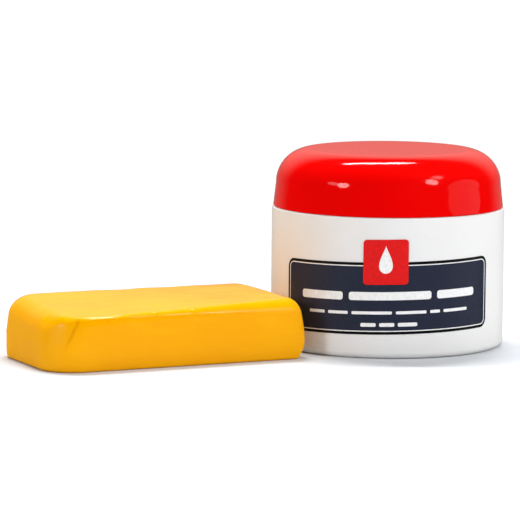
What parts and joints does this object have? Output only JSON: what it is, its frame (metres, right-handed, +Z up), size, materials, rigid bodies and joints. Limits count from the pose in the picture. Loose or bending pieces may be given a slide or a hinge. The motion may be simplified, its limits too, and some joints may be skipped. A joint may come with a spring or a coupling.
{
  "type": "clay bar",
  "caption": "Soft rounded block of detailing clay beside its round screw-top storage jar with a domed lid and wraparound label.",
  "frame": {"origin": "centre of the set's footprint, on the bench that the jar and the bar stand on", "axes": "+X along the set, from the bar to the jar; -Y towards the viewer, the side the label faces; +Z up"},
  "size_m": [0.2, 0.1376, 0.0798],
  "materials": {
    "clay": "satin, slightly waxy",
    "jar_plastic": "semi-gloss ivory white",
    "cup_plastic": "satin white",
    "lid_red": "high gloss red",
    "insert_plastic": "satin white",
    "seal_foam": "matt foamed sheet",
    "label_navy": "semi-gloss printed film",
    "badge_red": "semi-gloss printed film"
  },
  "bodies": {
    "jar": {"jar_outer_wall": "jar_plastic", "jar_inner_cup": "cup_plastic", "front_label": "label_navy", "label_badge": "badge_red"},
    "seal": {"lid_seal_disc": "seal_foam"},
    "lid": {"lid_dome": "lid_red", "lid_threaded_insert": "insert_plastic"},
    "bar": {"clay_bar": "clay"}
  },
  "joints": [
    {"name": "lid_rise", "type": "slide", "parent": "jar", "child": "seal", "axis": [0, 0, 1], "range_m": [0, 0.01525]},
    {"name": "lid_turn", "type": "hinge", "parent": "seal", "child": "lid", "pos_m": [0.05251, 0.0213, 0.06], "axis": [0, 0, 1], "range_deg": [0, 1080]},
    {"name": "bar_lift", "type": "slide", "parent": "jar", "child": "bar", "axis": [0, 0, 1], "range_m": [0, 0.1]}
  ],
  "couplings": [
    {"joint": "lid_rise", "follows": "lid_turn", "m_per_rad": 0.00080851}
  ]
}
